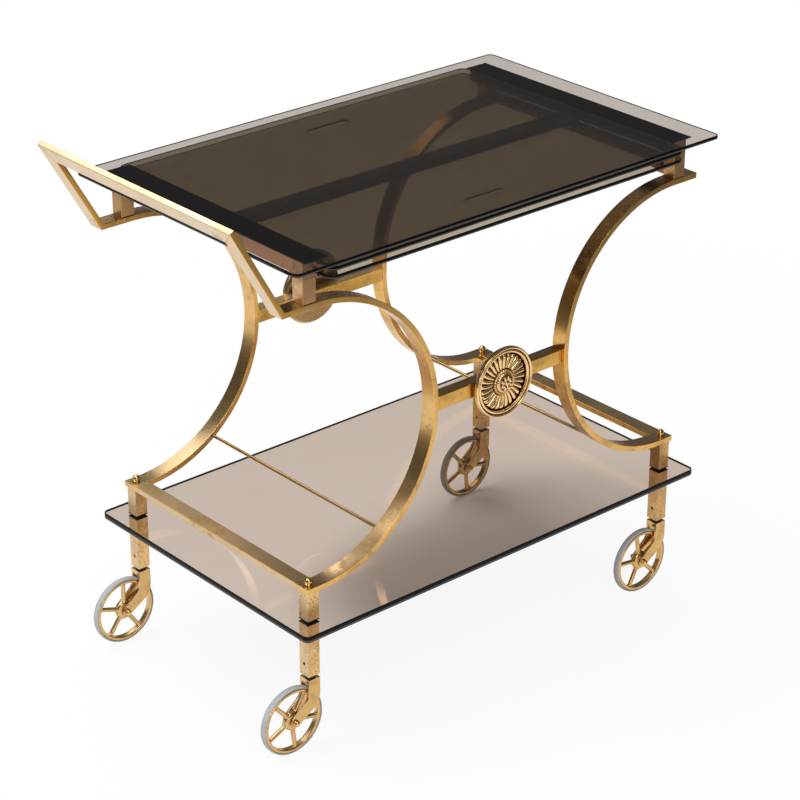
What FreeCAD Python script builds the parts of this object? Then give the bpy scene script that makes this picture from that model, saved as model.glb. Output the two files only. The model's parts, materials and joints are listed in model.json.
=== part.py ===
import FreeCAD, Part
import math
import os

from FreeCAD import Vector

# A bar cart on four swivelling casters: a flat-bar frame with four half-circle arcs, a smoked glass
# shelf, a smoked glass top, and two glass leaves that slide out from under the top.
# Millimetres.  +X runs along the length (the handle is at the -X end), -Y is the front, +Z is up.
# The origin is the middle of the cart's bounding box, on the floor.

# Bar stock
bar_width = 25.4
bar_thick = 8.5
leg_side = 20.0
post_side = 22.0

# Glass.  The length and depth of the top drive the plan of the cart.
glass_thick = 6.0
shelf_thick = 10.0
glass_edge = 1.0
top_length = 797.0
top_depth = 493.0
top_corner = 10.0
shelf_corner = 10.0

# Plan: how far the tie bolts stand in from the edges of the top, and what is set out from the bolts
corner_in_x = 48.5
corner_in_y = 44.2
arc_in = 10.0
run_past = 36.0
bend_past = 47.5
shelf_past_x = 37.5
shelf_past_y = 40.7

# Heights: each piece stands on the one below it
lower_leg_length = 77.6
upper_leg_length = 44.9
arc_radius = 217.6
stretcher_drop = 3.4
top_rise = 65.0

# Handle
handle_angle = 60.0
handle_length = 162.6

# Sliding leaves and the rails that carry them
leaf_in_x = 16.0
leaf_in_y = 7.5
leaf_corner = 15.0
leaf_clear = 0.4
leaf_end_clear = 2.0
pull_length = 75.0
pull_width = 12.0
pull_depth = 2.5
pull_from_edge = 69.0
gasket_thick = 1.5
gasket_over_side = 2.0
gasket_over_end = 8.0
rail_width = 38.0
rail_flange = 3.1
rail_fin = 5.2
rail_lip = 2.6
rail_step = 4.0
rail_post_gap = 0.5
centre_bar_width = 34.0
centre_bar_thick = 10.0
centre_bar_gap = 1.0

# Stretchers, rosettes and gallery rods
stretcher_depth = 20.0
stretcher_height = 22.0
weld_gap = 0.1
rosette_radius = 54.0
rosette_back = 50.0
rim_from_back = 5.0
rosette_ribs = 28
rosette_rim = 11.0
bead_width = 3.2
groove_from_edge = 4.0
groove_height = 8.8
band_from_edge = 5.0
band_width = 3.8
band_height = 9.6
dish_from_edge = 9.6
dish_height = 4.6
ring_outer = 18.8
ring_width = 2.4
ring_height = 9.4
dome_radius = 16.0
dome_foot = 8.6
dome_height = 17.0
rib_gap = 0.6
rib_sink = 0.4
rib_sides = 4
rod_radius = 2.5
rod_angle = 54.3

# Tie bolts, washers and set screws
bolt_radius = 4.0
bolt_hole_clear = 0.1
bolt_ball_radius = 6.0
bolt_ball_rise = 4.0
bolt_grip = 25.0
washer_thick = 1.4
washer_over = 0.4
glass_hole_clear = 0.6
screw_radius = 2.5
screw_rise = 19.0
screw_clear = 0.1
screw_inset = 0.2
screw_gap = 0.3
slot_depth = 1.2
slot_width = 1.2

# Casters
tyre_radius = 53.0
tyre_shoulder = 51.8
tread_width = 6.0
tyre_seat = 50.4
rim_inner = 44.4
rim_width = 10.5
spoke_sink = 1.2
hub_length = 13.0
hub_radius = 15.0
hub_face_radius = 11.0
hub_belly = 5.0
spoke_radius = 3.5
spoke_count = 5
spoke_sides = 8
trail = 34.5
axle_radius = 4.0
run_clear = 0.06
wheel_side_clear = 0.5
cheek_thick = 3.5
fork_side = 20.0
fork_end = 16.0
fork_plate = 7.0
fork_inner_drop = 39.0
fork_inner_bend = 18.0
fork_outer_drop = 32.0
fork_outer_bend = 30.0
crown_clear = 5.0
swivel_gap = 5.0
swivel_clear = 0.5
stem_radius = 5.0
stem_grip = 30.0
stem_head_radius = 7.0
stem_head_thick = 2.6
thrust_radius = 8.0
thrust_clear = 0.4
nut_radius = 5.0
nut_height = 3.0
nut_dome = 4.0
nut_tip_radius = 2.8

# How far the tools that cut holes and slots run past the faces they cut
past = 1.0

# Worked-out sizes, in plan
corner_x = top_length / 2 - corner_in_x
corner_y = top_depth / 2 - corner_in_y
arc_centre_x = corner_x - arc_in
right_run_end = corner_x + run_past
bend_x = corner_x + bend_past
shelf_length = (corner_x + shelf_past_x) * 2
shelf_depth = (corner_y + shelf_past_y) * 2
leaf_length = (corner_x - leaf_in_x) * 2
leaf_depth = top_depth - leaf_in_y * 2
arc_inner = arc_radius - bar_thick
bar_half = bar_width / 2
bar_front = corner_y + bar_half
bar_back = corner_y - bar_half
frame_end = corner_x + bar_half
glass_hole = bolt_radius + glass_hole_clear
bolt_hole = bolt_radius + bolt_hole_clear

# Worked-out sizes, from the floor up.  The crown of the fork clears the tyre below it.
wheel_z = tyre_radius
crown_reach = trail - fork_side / 2
fork_top = wheel_z + math.sqrt(tyre_radius ** 2 - crown_reach ** 2) + crown_clear + fork_plate
leg_bottom = fork_top + swivel_gap
leg_top = leg_bottom + lower_leg_length
shelf_bottom = leg_top + washer_thick
shelf_height = shelf_bottom + shelf_thick
frame_bottom = shelf_height + washer_thick + upper_leg_length
frame_top = frame_bottom + bar_thick
arc_centre_z = frame_bottom + arc_radius
stretcher_z = arc_centre_z - stretcher_drop
run_top = arc_centre_z + arc_radius
run_bottom = run_top - bar_thick
top_height = run_top + top_rise

glass_under = top_height - glass_thick
rail_top = glass_under - gasket_thick
upper_leaf_top = rail_top - rail_flange - leaf_clear
fin_top = upper_leaf_top - glass_thick - leaf_clear
fin_bottom = fin_top - rail_fin
lower_leaf_top = fin_bottom - leaf_clear
lip_top = lower_leaf_top - glass_thick - leaf_clear
lip_bottom = lip_top - rail_lip
post_top = lip_bottom + rail_step
rail_outer = corner_x + post_side / 2
rail_inner = rail_outer - rail_width
rail_half = corner_y + post_side / 2
groove_end = leaf_length / 2 + leaf_end_clear
post_inner = corner_x - post_side / 2
rail_step_x = post_inner - rail_post_gap
centre_bar_end = post_inner - centre_bar_gap

# Directions of the handle: along the arms, and square to them towards the cart
slope = math.radians(handle_angle)
along = Vector(-math.cos(slope), 0, math.sin(slope))
across = Vector(math.sin(slope), 0, math.cos(slope))
handle_foot = Vector(-bend_x, 0, run_bottom)
mitre_x = bend_x - bar_thick * math.tan(slope / 2)
handle_tip = handle_foot + along * handle_length
box_shift = -(handle_tip.x + top_length / 2) / 2


def keep(name, shape):
    moved = shape.copy()
    moved.translate(Vector(box_shift, 0, 0))
    moved.exportStep("parts/" + name + ".step")


def block(x0, x1, y0, y1, z0, z1):
    return Part.makeBox(x1 - x0, y1 - y0, z1 - z0, Vector(x0, y0, z0))


def upright(radius, x, y, z0, z1):
    return Part.makeCylinder(radius, z1 - z0, Vector(x, y, z0))


def prism(points, sweep):
    return Part.Face(Part.makePolygon(points + [points[0]])).extrude(sweep)


def flat(points, y0, y1):
    return prism([Vector(x, y0, z) for x, z in points], Vector(0, y1 - y0, 0))


def mirror_x(shape):
    return shape.mirror(Vector(0, 0, 0), Vector(1, 0, 0))


def mirror_y(shape):
    return shape.mirror(Vector(0, 0, 0), Vector(0, 1, 0))


def pane(length, depth, corner, z_top, thick=glass_thick):
    # A sheet of glass with rounded corners and ground edges all the way round.
    sheet = block(-length / 2, length / 2, -depth / 2, depth / 2, z_top - thick, z_top)
    uprights = [e for e in sheet.Edges if abs(e.tangentAt(e.FirstParameter).z) > 0.9]
    sheet = sheet.makeFillet(corner, uprights)
    rims = [e for e in sheet.Edges if abs(e.tangentAt(e.FirstParameter).z) < 0.1]
    return sheet.makeChamfer(glass_edge, rims)


def corners(make):
    places = [(sx * corner_x, sy * corner_y) for sx in (-1, 1) for sy in (-1, 1)]
    return Part.makeCompound([make(x, y) for x, y in places])


def spin(points, axis_point, axis):
    # A turned solid from one half of its section.
    return Part.Face(Part.makePolygon(points + [points[0]])).revolve(axis_point, axis, 360)


def ring(x, radius, sides, turn):
    # Points round the X axis, over one turn or a part of one.
    turns = [turn * n / sides for n in range(sides + 1)]
    return [Vector(x, -radius * math.sin(t), radius * math.cos(t)) for t in turns]


def through(rings):
    # A solid through rings of points, with flat faces between the rings and flat ends.
    outlines = [rings[0], rings[-1]]
    for near, far in zip(rings, rings[1:]):
        for n in range(len(near)):
            outlines.append([near[n - 1], near[n], far[n], far[n - 1]])
    faces = [Part.Face(Part.makePolygon(points + [points[0]])) for points in outlines]
    solid = Part.Solid(Part.Shell(faces))
    if solid.Volume < 0:
        solid.reverse()
    return solid


os.makedirs("parts", exist_ok=True)


# Frame: arcs.  Each is one flat bar: a short foot at the corner, a half circle that bulges towards the
# middle of the cart, and a straight run at the top.
def arc_bar(run_points):
    outline = [Vector(-frame_end, 0, frame_bottom), Vector(-arc_centre_x, 0, frame_bottom)]
    wire = [Part.makeLine(outline[0], outline[1])]
    side = Vector(-arc_centre_x + arc_radius, 0, arc_centre_z)
    top = Vector(-arc_centre_x, 0, run_top)
    wire.append(Part.Arc(outline[1], side, top).toShape())
    here = top
    for x, z in run_points:
        wire.append(Part.makeLine(here, Vector(x, 0, z)))
        here = Vector(x, 0, z)
    under = Vector(-arc_centre_x, 0, run_bottom)
    wire.append(Part.makeLine(here, under))
    side = Vector(-arc_centre_x + arc_inner, 0, arc_centre_z)
    foot = Vector(-arc_centre_x, 0, frame_top)
    wire.append(Part.Arc(under, side, foot).toShape())
    wire.append(Part.makeLine(foot, Vector(-frame_end, 0, frame_top)))
    wire.append(Part.makeLine(Vector(-frame_end, 0, frame_top), outline[0]))
    bar = Part.Face(Part.Wire(wire)).extrude(Vector(0, bar_width, 0))
    bar.translate(Vector(0, -bar_front, 0))
    hole = upright(bolt_hole, -corner_x, -corner_y, frame_bottom - past, frame_top + past)
    return bar.cut(hole)


left_arc = arc_bar([(-mitre_x, run_top), (-bend_x, run_bottom)])
right_arc = mirror_x(arc_bar([(-right_run_end, run_top), (-right_run_end, run_bottom)]))
keep("arc_front_left", left_arc)
keep("arc_rear_left", mirror_y(left_arc))
keep("arc_front_right", right_arc)
keep("arc_rear_right", mirror_y(right_arc))

# Frame: crossbars between the arcs, at the two lower ends and at the upper right end
def crossbar(outer, z0, z1):
    return block(outer - bar_width, outer, -bar_back, bar_back, z0, z1)


lower_crossbar = crossbar(frame_end, frame_bottom, frame_top)
keep("lower_crossbar_left", mirror_x(lower_crossbar))
keep("lower_crossbar_right", lower_crossbar)
keep("top_crossbar", crossbar(right_run_end, run_bottom, run_top))


# Handle: two arms and a grip, mitred in one sloping plane
def sloping(outline):
    points = [handle_foot + along * s + Vector(0, y, 0) for y, s in outline]
    return prism(points, across * bar_thick)


arm = sloping([(-bar_front, -bar_width), (-bar_back, -bar_width),
               (-bar_back, handle_length - bar_width), (-bar_front, handle_length)])
mitre = Vector(bend_x - mitre_x, 0, bar_thick)
low_end = handle_foot - mitre * 5
high_end = handle_foot + mitre * 5
inward = Vector(bar_width * 5, 0, 0)
behind = prism([low_end, high_end, high_end + inward, low_end + inward], Vector(0, bar_width * 3, 0))
behind.translate(Vector(0, -bar_front - bar_width, 0))
arm = arm.cut(behind)
keep("handle_arm_front", arm)
keep("handle_arm_rear", mirror_y(arm))
grip_inner = handle_length - bar_width
keep("handle_grip", sloping([(-bar_front, handle_length), (bar_front, handle_length),
                             (bar_back, grip_inner), (-bar_back, grip_inner)]))

# Stretchers with rosettes, half way up between the arcs
stretcher_end = arc_centre_x - arc_radius - weld_gap
stretcher_front = bar_back + stretcher_depth
stretcher = block(-stretcher_end, stretcher_end, -stretcher_front, -bar_back,
                  stretcher_z - stretcher_height / 2, stretcher_z + stretcher_height / 2)
keep("stretcher_front", stretcher)
keep("stretcher_rear", mirror_y(stretcher))


def rosette():
    # A turned disc with an outer bead, a groove, a band, a dish, a ring and a dome, then one tapered
    # half-round rib for each gadroon, let into the dish and drawn in at its outer end.  The back of the
    # disc is at y = 0 and it faces -Y.
    def at(r, h):
        return Vector(r, -h, 0)
    r = rosette_radius
    ring_inner = ring_outer - ring_width
    dome_step = dome_radius * 2 / 3
    dome_rise = dome_height - dome_foot
    disc = spin([at(0, 0), at(rosette_back, 0), at(r, rim_from_back), at(r, rosette_rim),
                 at(r - bead_width, rosette_rim), at(r - groove_from_edge, groove_height),
                 at(r - band_from_edge, band_height), at(r - band_from_edge - band_width, band_height),
                 at(r - dish_from_edge, dish_height), at(ring_outer, dish_height),
                 at(ring_outer, ring_height), at(ring_inner, ring_height), at(dome_radius, dome_foot),
                 at(dome_step, dome_foot + dome_rise * 0.6),
                 at(dome_step / 2, dome_foot + dome_rise * 0.9), at(0, dome_height)],
                Vector(0, 0, 0), Vector(0, 1, 0))
    pitch = math.pi / rosette_ribs
    inner_reach = ring_outer + rib_gap
    outer_reach = (r - dish_from_edge - rib_gap) / (1 + pitch)
    small = inner_reach * pitch - rib_gap / 2
    large = outer_reach * pitch - rib_gap / 2
    rings = []
    for x, radius in [(inner_reach, small), (outer_reach, large), (outer_reach + large, large / 2)]:
        foot = [Vector(x, rib_sink, -radius), Vector(x, rib_sink, radius)]
        rings.append(ring(x, radius, rib_sides, math.pi) + foot)
    rib = through(rings)
    rib.translate(Vector(0, -dish_height, 0))
    ribs = []
    for n in range(rosette_ribs):
        one = rib.copy()
        one.rotate(Vector(0, 0, 0), Vector(0, 1, 0), 360.0 * n / rosette_ribs)
        ribs.append(one)
    return disc.fuse(ribs)


flower = rosette()
flower.translate(Vector(0, -stretcher_front, stretcher_z))
keep("rosette_front", flower)
keep("rosette_rear", mirror_y(flower))

# Gallery rods, let in between the arcs at mid thickness
rod_reach = (arc_radius + arc_inner) / 2
rod_x = arc_centre_x - rod_reach * math.cos(math.radians(rod_angle))
rod_z = arc_centre_z - rod_reach * math.sin(math.radians(rod_angle))
rod = Part.makeCylinder(rod_radius, bar_back * 2, Vector(-rod_x, -bar_back, rod_z), Vector(0, 1, 0))
keep("gallery_rod_left", rod)
keep("gallery_rod_right", mirror_x(rod))

# Legs, in two lengths with the shelf glass clamped between them
bolt_end = leg_top - bolt_grip


def square(side, x, y, z0, z1):
    return block(x - side / 2, x + side / 2, y - side / 2, y + side / 2, z0, z1)


def upper_leg(x, y):
    leg = square(leg_side, x, y, shelf_height + washer_thick, frame_bottom)
    return leg.cut(upright(bolt_hole, x, y, shelf_height, frame_bottom + past))


def lower_leg(x, y):
    leg = square(leg_side, x, y, leg_bottom, leg_top)
    leg = leg.cut(upright(bolt_hole, x, y, bolt_end - past, leg_top + past))
    leg = leg.cut(upright(stem_radius + run_clear, x, y, leg_bottom - past, leg_bottom + stem_grip + past))
    mouth = Vector(x - leg_side / 2 - past, y, leg_bottom + screw_rise)
    side_hole = Part.makeCylinder(screw_radius + screw_clear, leg_side / 2, mouth, Vector(1, 0, 0))
    return leg.cut(side_hole)


def washer_pair(x, y):
    hole = upright(glass_hole, x, y, leg_top - past, shelf_height + washer_thick + past)
    side = leg_side + 2 * washer_over
    lower = square(side, x, y, leg_top, shelf_bottom).cut(hole)
    upper = square(side, x, y, shelf_height, shelf_height + washer_thick).cut(hole)
    return Part.makeCompound([lower, upper])


def tie_bolt(x, y):
    ball = Part.makeSphere(bolt_ball_radius, Vector(x, y, frame_top + bolt_ball_rise))
    cap = ball.common(square(bolt_ball_radius * 3, x, y, frame_top, frame_top + bolt_ball_radius * 2))
    return cap.fuse(upright(bolt_radius, x, y, bolt_end, frame_top)).removeSplitter()


def set_screw(x, y):
    outer = x - leg_side / 2 + screw_inset
    inner = x - stem_radius - screw_gap
    height = leg_bottom + screw_rise
    half = slot_width / 2
    screw = Part.makeCylinder(screw_radius, inner - outer, Vector(outer, y, height), Vector(1, 0, 0))
    slot = block(outer - past, outer + slot_depth, y - screw_radius - past, y + screw_radius + past,
                 height - half, height + half)
    return screw.cut(slot)


def caster_stem(x, y):
    head_top = fork_top - fork_plate - swivel_clear
    stem = upright(stem_radius, x, y, head_top, leg_bottom + stem_grip)
    return stem.fuse(upright(stem_head_radius, x, y, head_top - stem_head_thick, head_top)).removeSplitter()


def thrust_washer(x, y):
    ring = upright(thrust_radius, x, y, fork_top + swivel_clear, leg_bottom)
    return ring.cut(upright(stem_radius + thrust_clear, x, y, fork_top, leg_bottom + past))


ends = {"front_left": (-1, -1), "rear_left": (-1, 1), "front_right": (1, -1), "rear_right": (1, 1)}
for place, (sx, sy) in ends.items():
    x = sx * corner_x
    y = sy * corner_y
    keep("upper_leg_" + place, upper_leg(x, y))
    keep("lower_leg_" + place, lower_leg(x, y))
    keep("post_" + place, square(post_side, x, y, run_top, post_top))
keep("tie_bolts", corners(tie_bolt))
keep("shelf_washers", corners(washer_pair))
keep("set_screws", corners(set_screw))
keep("caster_stems", corners(caster_stem))
keep("thrust_washers", corners(thrust_washer))

# Shelf
shelf = pane(shelf_length, shelf_depth, shelf_corner, shelf_height, shelf_thick)
for sx, sy in ends.values():
    hole = upright(glass_hole, sx * corner_x, sy * corner_y, shelf_bottom - past, shelf_height + past)
    shelf = shelf.cut(hole)
keep("shelf_glass", shelf)

# Rails: one section with an upper groove and a lower groove for the two leaves
rail = flat([(-rail_outer, post_top), (-rail_outer, rail_top), (-rail_inner, rail_top),
             (-rail_inner, upper_leaf_top + leaf_clear), (-groove_end, upper_leaf_top + leaf_clear),
             (-groove_end, fin_top), (-rail_inner, fin_top), (-rail_inner, fin_bottom),
             (-groove_end, fin_bottom), (-groove_end, lip_top), (-rail_inner, lip_top),
             (-rail_inner, lip_bottom), (-rail_step_x, lip_bottom), (-rail_step_x, post_top)],
            -rail_half, rail_half)
gasket = block(-rail_outer - gasket_over_side, -rail_inner, -rail_half - gasket_over_end,
               rail_half + gasket_over_end, rail_top, glass_under)
keep("rail_left", rail)
keep("rail_right", mirror_x(rail))
keep("gasket_left", gasket)
keep("gasket_right", mirror_x(gasket))
keep("centre_bar", block(-centre_bar_end, centre_bar_end, -centre_bar_width / 2, centre_bar_width / 2,
                         lip_bottom - centre_bar_thick, lip_bottom))

# Top and leaves
keep("top_glass", pane(top_length, top_depth, top_corner, top_height))


def leaf(z_top, pull_side):
    # A sheet with an oblong finger groove ground into its upper face near the edge it is pulled by.
    sheet = pane(leaf_length, leaf_depth, leaf_corner, z_top)
    y = pull_side * (leaf_depth / 2 - pull_from_edge)
    half = (pull_length - pull_width) / 2
    low = z_top - pull_depth
    high = z_top + past
    groove = block(-half, half, y - pull_width / 2, y + pull_width / 2, low, high)
    round_ends = [upright(pull_width / 2, s * half, y, low, high) for s in (-1, 1)]
    return sheet.cut(groove.fuse(round_ends).removeSplitter())


keep("upper_leaf", leaf(upper_leaf_top, 1))
keep("lower_leaf", leaf(lower_leaf_top, -1))

# Casters, built round a swivel axis at x = 0, y = 0 with the wheel trailing towards -X
fork_inner = hub_length / 2 + wheel_side_clear
fork_outer = fork_inner + cheek_thick


def cheek(y0, y1):
    # A strip that goes straight down, bends, and runs down and back to a narrower round end at the axle.
    half = fork_side / 2
    end = fork_end / 2
    hub = Vector(-trail, 0, wheel_z)
    top = fork_top - fork_plate / 2

    def bent_edge(side, drop, radius):
        # An upright edge, its bend, and the sloping edge that runs on to touch the round end.
        slant = math.radians(drop)
        touch = hub + Vector(-math.sin(slant), 0, math.cos(slant)) * (end * side)
        upright_x = -half * side
        knee = Vector(upright_x, 0, touch.z + (upright_x - touch.x) * math.tan(slant))
        reach = radius * math.tan((math.pi / 2 - slant) / 2)
        start = knee + Vector(0, 0, reach)
        finish = knee - Vector(math.cos(slant), 0, math.sin(slant)) * reach
        middle = start - Vector(radius, 0, 0)
        crest = middle + (knee - middle).normalize() * radius
        edges = [Part.makeLine(Vector(upright_x, 0, top), start), Part.Arc(start, crest, finish).toShape(),
                 Part.makeLine(finish, touch)]
        return edges, touch
    inner, above = bent_edge(1, fork_inner_drop, fork_inner_bend)
    outer, below = bent_edge(-1, fork_outer_drop, fork_outer_bend)
    mean = math.radians((fork_inner_drop + fork_outer_drop) / 2)
    tip = hub - Vector(math.cos(mean), 0, math.sin(mean)) * end
    round_end = Part.Arc(above, tip, below).toShape()
    across_top = Part.makeLine(Vector(half, 0, top), Vector(-half, 0, top))
    outline = Part.Wire(inner + [round_end] + outer[::-1] + [across_top])
    plate = Part.Face(outline).extrude(Vector(0, y1 - y0, 0))
    plate.translate(Vector(0, y0, 0))
    return plate


def axle_bore(half_length):
    mouth = Vector(-trail, -half_length - past, wheel_z)
    return Part.makeCylinder(axle_radius + run_clear, (half_length + past) * 2, mouth, Vector(0, 1, 0))


def fork():
    half = fork_side / 2
    crown = block(-half, half, -fork_outer, fork_outer, fork_top - fork_plate, fork_top)
    body = crown.fuse([cheek(-fork_outer, -fork_inner), cheek(fork_inner, fork_outer)]).removeSplitter()
    body = body.cut(upright(stem_radius + run_clear, 0, 0, fork_top - fork_plate - past, fork_top + past))
    return body.cut(axle_bore(fork_outer))


def axle():
    # A pin with a round cap nut outside each cheek.
    def at(r, y):
        return Vector(-trail + r, y, wheel_z)
    end = fork_outer + nut_height
    tip = end + nut_dome
    return spin([at(0, -tip), at(nut_tip_radius, -tip), at(nut_radius, -end),
                 at(nut_radius, -fork_outer), at(axle_radius, -fork_outer), at(axle_radius, fork_outer),
                 at(nut_radius, fork_outer), at(nut_radius, end), at(nut_tip_radius, tip), at(0, tip)],
                Vector(-trail, 0, wheel_z), Vector(0, 1, 0))


def wheel(first_spoke):
    # Brass wheel: a flat-sided rim, bar spokes and a barrel hub.
    centre = Vector(-trail, 0, wheel_z)
    axis = Vector(0, 1, 0)
    half = hub_length / 2
    belly = hub_belly / 2
    side = rim_width / 2

    def at(r, y):
        return centre + Vector(r, y, 0)
    rim = spin([at(rim_inner, -side), at(tyre_seat, -side), at(tyre_seat, side), at(rim_inner, side)],
               centre, axis)
    hub = spin([at(0, -half), at(hub_face_radius, -half), at(hub_radius, -belly), at(hub_radius, belly),
                at(hub_face_radius, half), at(0, half)], centre, axis)
    pitch = 360.0 / spoke_count
    turn = 2 * math.pi * (spoke_sides - 1) / spoke_sides
    spoke_ends = [hub_radius / 2, rim_inner + spoke_sink]
    spoke = through([ring(x, spoke_radius, spoke_sides - 1, turn) for x in spoke_ends])
    spoke.translate(centre)
    spokes = []
    for n in range(spoke_count):
        one = spoke.copy()
        one.rotate(centre, axis, pitch * (n + 0.5))
        spokes.append(one)
    body = hub.fuse(spokes + [rim]).cut(axle_bore(half)).removeSplitter()
    body.rotate(centre, axis, pitch / 2 - first_spoke)
    return body


def tyre():
    centre = Vector(-trail, 0, wheel_z)
    half = rim_width / 2

    def at(r, y):
        return centre + Vector(r, y, 0)
    tread = tread_width / 2
    return spin([at(tyre_seat, -half), at(tyre_shoulder, -half), at(tyre_radius, -tread),
                 at(tyre_radius, tread), at(tyre_shoulder, half), at(tyre_seat, half)],
                centre, Vector(0, 1, 0))


# The angle of one spoke above the +X direction in each wheel
first_spokes = {"front_left": 60.0, "rear_left": 17.0, "front_right": 28.0, "rear_right": 60.0}
for place, (sx, sy) in ends.items():
    caster = {"fork_": fork(), "axle_": axle(), "wheel_": wheel(first_spokes[place]), "tyre_": tyre()}
    for name, shape in caster.items():
        shape.translate(Vector(sx * corner_x, sy * corner_y, 0))
        keep(name + place, shape)
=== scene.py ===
import json
import math

import bmesh
import bpy
from mathutils import Matrix, Vector


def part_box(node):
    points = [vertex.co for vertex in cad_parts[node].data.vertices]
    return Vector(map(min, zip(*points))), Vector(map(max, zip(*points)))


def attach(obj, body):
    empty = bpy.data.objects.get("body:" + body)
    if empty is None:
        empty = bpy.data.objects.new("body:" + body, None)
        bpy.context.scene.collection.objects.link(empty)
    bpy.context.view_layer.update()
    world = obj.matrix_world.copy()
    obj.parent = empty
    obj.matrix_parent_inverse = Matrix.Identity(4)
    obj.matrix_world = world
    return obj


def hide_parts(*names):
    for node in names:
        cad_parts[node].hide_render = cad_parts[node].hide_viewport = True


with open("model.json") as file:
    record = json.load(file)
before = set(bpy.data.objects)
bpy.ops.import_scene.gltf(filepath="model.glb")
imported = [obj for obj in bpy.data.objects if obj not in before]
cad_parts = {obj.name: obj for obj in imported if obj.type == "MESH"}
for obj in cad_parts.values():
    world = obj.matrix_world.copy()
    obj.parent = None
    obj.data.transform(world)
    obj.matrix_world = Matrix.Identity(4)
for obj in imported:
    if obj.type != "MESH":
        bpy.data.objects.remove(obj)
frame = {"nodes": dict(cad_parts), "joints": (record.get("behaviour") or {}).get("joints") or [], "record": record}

# The bar cart's finished pieces, its materials, the studio and the camera.  Metres, in the model's frame.

for leftover in ("Cube", "Light", "Camera"):
    if leftover in bpy.data.objects:
        bpy.data.objects.remove(bpy.data.objects[leftover])
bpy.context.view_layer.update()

nodes = frame["nodes"]
bodies = frame["record"]["behaviour"]["bodies"]
carrier = {node: body for body, members in bodies.items() for node in members}
joint_at = {joint["name"]: joint.get("pos_m") for joint in frame["joints"]}
places = ("front_left", "rear_left", "front_right", "rear_right")
mm = 0.001


# Node trees

class Tree:
    # A node tree with short calls for adding and joining nodes.
    def __init__(self, tree):
        self.tree = tree

    def add(self, kind, values=(), **settings):
        node = self.tree.nodes.new("ShaderNode" + kind)
        for key, value in settings.items():
            setattr(node, key, value)
        for key, value in dict(values).items():
            if isinstance(value, bpy.types.NodeSocket):
                self.tree.links.new(value, node.inputs[key])
            else:
                node.inputs[key].default_value = value
        return node

    def place(self, group, **values):
        node = self.tree.nodes.new("ShaderNodeGroup")
        node.node_tree = group
        for key, value in values.items():
            node.inputs[key].default_value = value
        return node.outputs

    def feed(self, value, socket):
        self.tree.links.new(value, socket)

    def math(self, operation, a, b=0.0, clamp=False):
        return self.add("Math", {0: a, 1: b}, operation=operation, use_clamp=clamp).outputs[0]

    def noise(self, at, scale, detail=3.0, rough=0.55):
        values = {"Vector": at, "Scale": scale, "Detail": detail, "Roughness": rough}
        return self.add("TexNoise", values).outputs["Fac"]

    def spread(self, value, low, high, out_low=0.0, out_high=1.0, soft=False):
        values = {"Value": value, "From Min": low, "From Max": high, "To Min": out_low, "To Max": out_high}
        kind = "SMOOTHSTEP" if soft else "LINEAR"
        return self.add("MapRange", values, interpolation_type=kind).outputs["Result"]

    def mix(self, share, a, b):
        return self.add("Mix", {0: share, 6: a, 7: b}, data_type="RGBA").outputs[2]


def effect(name, inputs, outputs):
    # A shader node group with named number inputs and outputs, and the place on the piece to work from.
    tree = bpy.data.node_groups.new(name, "ShaderNodeTree")
    for label, value in inputs.items():
        socket = tree.interface.new_socket(label, in_out="INPUT", socket_type="NodeSocketFloat")
        socket.default_value = value
    for label in outputs:
        tree.interface.new_socket(label, in_out="OUTPUT", socket_type="NodeSocketFloat")
    t = Tree(tree)
    given = tree.nodes.new("NodeGroupInput").outputs
    wanted = tree.nodes.new("NodeGroupOutput").inputs
    return t, given, wanted, t.add("TexCoord").outputs["Object"]


def make_patina():
    # Soft clouds of tarnish with a finer mottle inside them.
    t, given, wanted, here = effect("tarnish_clouds", {"Scale": 20.0, "Reach": 0.5}, ["Mask"])
    cloud = t.noise(here, given["Scale"], 4.0, 0.6)
    mottle = t.noise(here, t.math("MULTIPLY", given["Scale"], 9.0), 3.0, 0.6)
    both = t.math("ADD", t.math("MULTIPLY", cloud, 0.78), t.math("MULTIPLY", mottle, 0.22))
    low = t.math("SUBTRACT", 0.75, t.math("MULTIPLY", given["Reach"], 0.5))
    t.feed(t.spread(both, low, t.math("ADD", low, 0.3), soft=True), wanted["Mask"])
    return t.tree


def make_grain():
    # Fine drawn lines along the bars and a close speckle.
    t, given, wanted, here = effect("metal_grain", {"Scale": 900.0, "Draw": 0.12}, ["Height", "Speckle"])
    along = t.add("CombineXYZ", {0: given["Draw"], 1: 1.0, 2: 1.0}).outputs[0]
    drawn = t.add("VectorMath", {0: here, 1: along}, operation="MULTIPLY").outputs[0]
    lines = t.noise(drawn, given["Scale"], 2.0, 0.6)
    speckle = t.noise(here, t.math("MULTIPLY", given["Scale"], 0.6), 2.0, 0.5)
    height = t.math("ADD", t.math("MULTIPLY", lines, 0.6), t.math("MULTIPLY", speckle, 0.4))
    t.feed(height, wanted["Height"])
    t.feed(t.spread(speckle, 0.35, 0.68), wanted["Speckle"])
    return t.tree


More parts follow.
